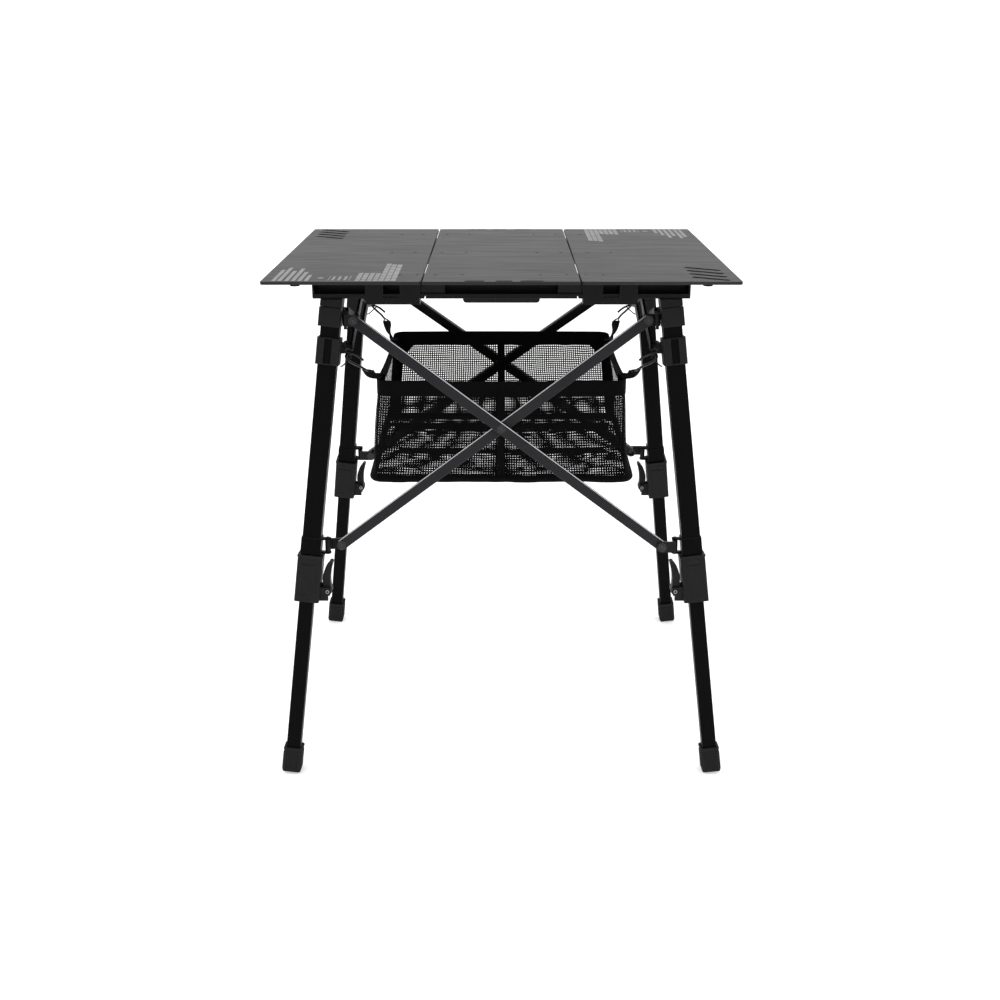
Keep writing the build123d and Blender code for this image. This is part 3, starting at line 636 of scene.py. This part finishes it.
folds = make_piece("basket_floor_tapes", *join_meshes([fold_tape(0.066, 0.009, 0.165),
                                                       fold_tape(-0.036, 0.006, 0.150)]), TAPE)

HOOK = ((0.1835, 0.1665, 0.5705), (0.1905, 0.1668, 0.5765), (0.1985, 0.1690, 0.5802),
        (0.2050, 0.1740, 0.5800), (0.2045, 0.1808, 0.5770), (0.1985, 0.1800, 0.5712),
        (0.1905, 0.1740, 0.5655), (0.1850, 0.1675, 0.5610))
HOOK_EYE = (0.1812, 0.1630, 0.5575)
STRAP_WIDTH = 0.0120


def flip(points, sx, sy):
    """Points of the back right corner, carried to the corner sx, sy."""
    return [Vector((sx * x, sy * y, z)) for x, y, z in points]


def hook_wires(sx, sy):
    """A wire hook through the ring, with a three-sided eye for its strap."""
    prong = wire(flip(HOOK, sx, sy), 0.0016)
    x, y, z = HOOK_EYE
    spread = 0.0052
    eye = [HOOK[-1], (x + spread * 0.6, y - spread * 0.8, z - 0.0005), (x, y, z - 0.0012),
           (x - spread * 0.6, y + spread * 0.8, z - 0.0005), HOOK[-1]]
    return join_meshes([prong, wire(flip(eye, sx, sy), 0.0011, 6)])


STRAP_INBOARD_FRONT, STRAP_INBOARD_BACK = 0.032, 0.050


def strap_bands(sx, sy):
    """A short strap from the hook's eye, twisted half a turn, down to the rim beside the corner."""
    start = flip([HOOK_EYE], sx, sy)[0]
    inboard = STRAP_INBOARD_FRONT if sy < 0 else STRAP_INBOARD_BACK
    rim_share = (share_at(sx, sy) + (inboard / ROUND) * (1 if sx * sy < 0 else -1)) % 1.0
    top = wall_point(rim_share, 1.0, -0.0012)
    low = wall_point(rim_share, 0.86, -0.0014)
    droop = Vector((0, 0, -0.0035))
    middle = start.lerp(top, 0.5) + droop
    line = smooth_line([start, start.lerp(middle, 0.5) + droop * 0.5, middle,
                        middle.lerp(top, 0.55) + droop * 0.4, top, low], 10)
    last = len(line) - 1
    side = Vector((sx * sy * 1.0, -0.35, 0))
    return along(line, flat_section(STRAP_WIDTH, 0.0013), lambda i: side,
                 turn=lambda i: sx * sy * math.pi * max(0.0, 1 - i / (last * 0.72)))


hooks = make_piece("basket_wire_hooks", *join_meshes([hook_wires(*c) for c in CORNERS.values()]), WIRE, True)
straps = make_piece("basket_twisted_straps", *join_meshes([strap_bands(*c) for c in CORNERS.values()]), TAPE)

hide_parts("basket")
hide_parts("basket_hooks")
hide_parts("basket_straps")
BASKET_PIECES = (net_walls, net_floor, hem, rim, bands, gussets, folds, hooks, straps)
for piece in BASKET_PIECES:
    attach(piece, "basket")
    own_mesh(piece)


# ---- marks and rivets on the boards -----------------------------------------------------------
STRIPES = ((-0.2838, -0.1580), (-0.2764, -0.1416), (-0.2677, -0.1677),
           (-0.2596, -0.1482), (-0.2515, -0.1757), (-0.2434, -0.1992))
STRIPE_FRONT = -0.2445
PRINT_THICK = 0.00012


def flat_bar(x0, x1, y0, y1):
    bar = soft_block(abs(x1 - x0), abs(y1 - y0), PRINT_THICK, PRINT_THICK / 2.1)
    return placed(Matrix.Translation(((x0 + x1) / 2, (y0 + y1) / 2, TOP_Z + PRINT_THICK / 2)), bar)


def broken_bar(x0, x1, y0, y1, pieces, gap=0.0022):
    """A bar in uneven short lengths: a plain block that stands for small print."""
    parts, at = [], y0
    for k in range(pieces):
        length = (y1 - y0) / pieces * (0.8 + 0.4 * ((k * 7) % 5) / 4)
        parts.append(flat_bar(x0, x1, at, min(at + length - gap, y1)))
        at += length
        if at >= y1 - gap:
            break
    return parts


def print_marks():
    """Plain stripes, a dot and rows of short blocks, in place of the print on the front left corner."""
    marks = [flat_bar(x - 0.0025, x + 0.0025, STRIPE_FRONT, far) for x, far in STRIPES]
    marks.append(dome((-0.2278, -0.2220, TOP_Z), (0, 0, 1), 0.0042, PRINT_THICK))
    for x in (-0.2165, -0.1905):
        marks.append(flat_bar(x - 0.0005, x + 0.0005, -0.241, -0.207))
    for x in (-0.2110, -0.2035, -0.1960):
        marks += broken_bar(x - 0.0018, x + 0.0018, -0.239, -0.209, 3)
    for k in range(4):
        x = -0.1800 + k * 0.0075
        marks += broken_bar(x - 0.0030, x + 0.0030, -0.2445, -0.182, 5 - k % 2)
    for k in range(3):
        x = -0.1500 + k * 0.0075
        marks += broken_bar(x - 0.0032, x + 0.0032, -0.2445, -0.101 - 0.006 * k, 7 - k)
    return join_meshes(marks)


front_left = print_marks()
half_turn = Matrix.Rotation(math.pi, 4, "Z")
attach(make_piece("print_left_board", *front_left, PRINT), "left_panel")
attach(make_piece("print_right_board", *placed(half_turn, front_left), PRINT), "right_panel")

# each row of rivets: Y, and X of the outer and the inner rivet on a side board
RIVET_ROWS = ((0.1840, 0.155, 0.122), (-0.0054, 0.155, 0.122), (-0.1969, 0.130, 0.108))
CENTRE_RIVETS = (-0.084, -0.050, 0.050, 0.084)


def board_rivets(row_places):
    """Flush rivet heads that just show in the coat; row_places(outer, inner) gives a row's X values."""
    return join_meshes([dome((x, y, TOP_Z), (0, 0, 1), 0.0022, 0.00035, 14)
                        for y, outer, inner in RIVET_ROWS for x in row_places(outer, inner)])


for name, body, row_places in (("left", "left_panel", lambda outer, inner: (-outer, -inner)),
                               ("right", "right_panel", lambda outer, inner: (outer, inner)),
                               ("centre", "front_frame", lambda outer, inner: CENTRE_RIVETS)):
    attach(make_piece(f"{name}_rivets", *board_rivets(row_places), BOARD, True), body)

RAIL_END = (0.2445, 0.1680, 0.6705)
END_CAP_SIZE = (0.0022, 0.0236, 0.0290)


def rail_end_caps(sx):
    """Plain caps that close the outer ends of a side board's two rails."""
    x, y, z = RAIL_END
    cap = soft_block(*END_CAP_SIZE, 0.0006)
    return join_meshes([placed(Matrix.Translation((sx * x, sy * y, z)), cap) for sy in (-1, 1)])


for name, sx in (("left", -1), ("right", 1)):
    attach(make_piece(f"{name}_rail_end_caps", *rail_end_caps(sx), PLASTIC), f"{name}_panel")


# ---- moulded detail on legs --------------------------------------------------------------------
def ring_bead(centre, normal, radius, thick, count=20):
    """A raised ring round a rivet or pin."""
    normal = Vector(normal).normalized()
    u = normal.orthogonal().normalized()
    v = normal.cross(u)
    angles = [2 * math.pi * k / count for k in range(count)]
    line = [Vector(centre) + (u * math.cos(angle) + v * math.sin(angle)) * radius for angle in angles]
    return along(line, round_section(thick, 8), lambda i: normal, closed=True)


# the braces' end rivets and crossing: X, height, and distance out of the frame's plane
BRACE_TOP_X, BRACE_TOP_Z = 0.1936, 0.6257
BRACE_LOW_X, BRACE_LOW_Z = 0.2173, 0.3244
ON_ARM, ON_BRACE = 0.0140, 0.0012
BRACE_RIVETS = ((-BRACE_TOP_X, BRACE_TOP_Z, ON_ARM), (BRACE_LOW_X, BRACE_LOW_Z, ON_ARM),
                (BRACE_TOP_X, BRACE_TOP_Z, ON_BRACE), (-BRACE_LOW_X, BRACE_LOW_Z, ON_BRACE),
                (0.0, 0.4836, 0.0096))
BRACE_HALF = 0.0070
FALLING_FACE, RISING_FACE = 0.0081, -0.0004


def frame_normal(sy):
    """The way out of a frame's plane, towards the table's outside."""
    return Vector((0, sy, SPLAY_Y)).normalized()


def brace_point(x, z, out, sy):
    """A point near the braces, out of their plane towards the table's outside."""
    return Vector((x, sy * (FOOT_Y - SPLAY_Y * z), z)) + frame_normal(sy) * out


def rivet_rings(sy):
    """Rolled rivet edges on the outer faces of a frame's braces."""
    parts = []
    for x, z, out in BRACE_RIVETS:
        centre = brace_point(x, z, out, sy)
        parts.append(ring_bead(centre, frame_normal(sy), 0.0033, 0.0005))
        parts.append(dome(centre, frame_normal(sy), 0.0014, 0.0003, 14))
    return join_meshes(parts)


def brace_highlight_beads(sy):
    """A painted highlight: a bright bead along the top edge of each brace, standing for the light that edge
    catches.
    """
    parts = []
    for sign, face in ((1, FALLING_FACE), (-1, RISING_FACE)):
        top = brace_point(-sign * BRACE_TOP_X, BRACE_TOP_Z, face, sy)
        low = brace_point(sign * BRACE_LOW_X, BRACE_LOW_Z, face, sy)
        way = (low - top).normalized()
        up = frame_normal(sy).cross(way)
        up = up if up.z > 0 else -up
        shift = up * (BRACE_HALF - 0.0002)
        line = [top.lerp(low, k / 12) + shift for k in range(13)]
        parts.append(along(line, round_section(0.0005, 8), lambda i: up))
    return join_meshes(parts)


LEVER_IN, LEVER_Z, LEVER_CHEEK = 0.0278, 0.2635, 0.0104


def lever_caps(sx, sy):
    """The ends of a lever's pin: a round boss with a bright rolled ring on each cheek."""
    at = leg_axis(sx, sy, LEVER_Z) - Vector((sx * LEVER_IN, 0, 0))
    bosses, rings = [], []
    for side in (-1, 1):
        face = at + Vector((0, side * (LEVER_CHEEK - 0.0003), 0))
        bosses.append(dome(face, (0, side, 0), 0.0050, 0.0008))
        rings.append(ring_bead(face + Vector((0, side * 0.0009, 0)), (0, side, 0), 0.0021, 0.0005))
    return join_meshes(bosses), join_meshes(rings)


def foot_ribs(sx, sy):
    """Upright grip ribs round a foot, and its top rim."""
    parts = []
    base = leg_frame(sx, sy, 0.0195)
    for k in range(7):
        offset = (k - 3) * 0.0031
        for angle in range(4):
            turn = Matrix.Rotation(angle * math.pi / 2, 4, "Z")
            side = turn @ Matrix.Translation((offset, 0.0126, -0.001))
            parts.append(placed(base @ side, soft_block(0.0018, 0.0014, 0.0270, 0.0005)))
    rim_rings = []
    for z, grow in ((0.0, 0.0), (0.0006, 0.0006), (0.0026, 0.0006), (0.0032, 0.0)):
        half = 0.0127 + grow
        rim_rings.append([Vector((x, y, z)) for x, y in rounded_outline(half, half, 0.0035)])
    for z in (0.0032, 0.0):
        rim_rings.append([Vector((x, y, z)) for x, y in rounded_outline(0.0100, 0.0100, 0.0020)])
    parts.append(placed(leg_frame(sx, sy, 0.0345), sweep(rim_rings, closed=True)))
    return join_meshes(parts)


def clamp_details(sx, sy):
    """A raised panel and two screw heads on a clamp's front and back faces."""
    parts = []
    for side in (-1, 1):
        face = leg_frame(sx, sy, 0.281) @ Matrix.Translation((0, side * 0.0171, 0))
        parts.append(placed(face, soft_block(0.0200, 0.0014, 0.0400, 0.0006)))
        for z in (0.256, 0.3065):
            centre = leg_frame(sx, sy, z) @ Vector((sx * 0.004, side * 0.0169, 0))
            normal = leg_frame(sx, sy, z).to_3x3() @ Vector((0, side, 0))
            parts.append(dome(centre, normal, 0.0026, 0.0009))
    return join_meshes(parts)


def tube_collar(sx, sy):
    """The bead round the clamp's upper mouth."""
    rings = []
    for z, half in ((0.0, 0.0170), (0.0008, 0.0176), (0.0026, 0.0176),
                    (0.0034, 0.0170), (0.0034, 0.0150), (0.0, 0.0150)):
        rings.append([Vector((x, y, z)) for x, y in rounded_outline(half, half, 0.0035)])
    mouth = leg_frame(sx, sy, 0.3105) @ Matrix.Translation((-sx * 0.0006, 0, 0))
    return placed(mouth, sweep(rings, closed=True))


SLIDER_MIDDLE_Z, SLIDER_FACE = 0.5865, 0.0155
GRIP_GAP_SIZE = (0.0100, 0.0010, 0.0330)


def grip_gap_shade(sx, sy):
    """A thin plate of the dark leg coat on the slider's face between its two grip ribs: painted shade for the
    recess there, where the darker leg tube shows.
    """
    face = leg_frame(sx, sy, SLIDER_MIDDLE_Z) @ Matrix.Translation((0, sy * SLIDER_FACE, 0))
    return placed(face, soft_block(*GRIP_GAP_SIZE, 0.0003))


for name, (sx, sy) in CORNERS.items():
    frame_body = "front_frame" if sy < 0 else "back_frame"
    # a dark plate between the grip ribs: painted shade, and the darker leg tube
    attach(make_piece(f"grip_gap_{name}", *grip_gap_shade(sx, sy), FRAME), f"slider_{name}")
    bosses, rings = lever_caps(sx, sy)
    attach(make_piece(f"pin_bosses_{name}", *bosses, PLASTIC, True), frame_body)
    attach(make_piece(f"pin_rings_{name}", *rings, STEEL, True), frame_body)
    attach(make_piece(f"foot_ribs_{name}", *foot_ribs(sx, sy), RUBBER), f"leg_{name}")
    clamp = join_meshes([clamp_details(sx, sy), tube_collar(sx, sy)])
    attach(make_piece(f"clamp_details_{name}", *clamp, PLASTIC), frame_body)


for frame_body, way in (("front_frame", -1), ("back_frame", 1)):
    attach(make_piece(f"{frame_body}_rivet_rings", *rivet_rings(way), PINS, True), frame_body)
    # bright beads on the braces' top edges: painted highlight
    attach(make_piece(f"{frame_body}_brace_edges", *brace_highlight_beads(way), BRACE_HIGHLIGHT, True), frame_body)


# ---- floor, light and camera -------------------------------------------------------------------
def area_light(name, place, aim, size, power):
    """A square soft light at a place, turned to a point."""
    data = bpy.data.lights.new(name, "AREA")
    data.energy = power
    data.shape = "SQUARE"
    data.size = size
    lamp = bpy.data.objects.new(name, data)
    lamp.location = place
    lamp.rotation_euler = (Vector(aim) - Vector(place)).to_track_quat("-Z", "Y").to_euler()
    bpy.context.scene.collection.objects.link(lamp)


def studio_floor():
    """A wide pale floor that curves up far behind."""
    front, bend, radius, top, half_width = -6.0, 3.0, 2.5, 9.0, 9.0
    profile = [(front, 0.0), (bend, 0.0)]
    for k in range(1, 11):
        angle = k * math.pi / 20
        profile.append((bend + radius * math.sin(angle), radius - radius * math.cos(angle)))
    profile.append((bend + radius, top))
    vertices = [Vector((x, y, z)) for y, z in profile for x in (-half_width, half_width)]
    faces = [(2 * i, 2 * i + 1, 2 * i + 3, 2 * i + 2) for i in range(len(profile) - 1)]
    material, tree, shader, place = new_material("floor_paint", Specular_IOR_Level=0.1)
    patches = noise_node(tree, place, 1.5, 2.0)
    tree.links.new(ramp(tree, patches, grey(0.88), grey(0.92)), shader.inputs["Base Color"])
    shader.inputs["Roughness"].default_value = 0.9
    shader.inputs["Emission Color"].default_value = (1, 1, 1, 1)
    shader.inputs["Emission Strength"].default_value = 0.35
    floor = make_piece("studio_floor", vertices, faces, material, True)


studio_floor()
world = bpy.data.worlds.new("studio")
world.use_nodes = True
world.node_tree.nodes["Background"].inputs["Color"].default_value = (1, 1, 1, 1)
world.node_tree.nodes["Background"].inputs["Strength"].default_value = 1.0
bpy.context.scene.world = world
bpy.context.scene.view_settings.view_transform = "Standard"
area_light("key", (-1.6, -2.0, 2.6), (0, 0, 0.4), 1.6, 20)
area_light("fill", (2.0, -1.8, 1.6), (0, 0, 0.4), 1.6, 11)
area_light("top", (0, 0.6, 3.0), (0, 0, 0.5), 2.2, 7)

camera_data = bpy.data.cameras.new("camera")
camera_data.sensor_width = 36.0
camera_data.lens = 45.963
camera_data.shift_x = -0.0014
camera = bpy.data.objects.new("camera", camera_data)
camera.location = (0, -1.8316, 0.9578)
camera.rotation_euler = (math.radians(70.6684), 0, 0)
bpy.context.scene.collection.objects.link(camera)
bpy.context.scene.camera = camera
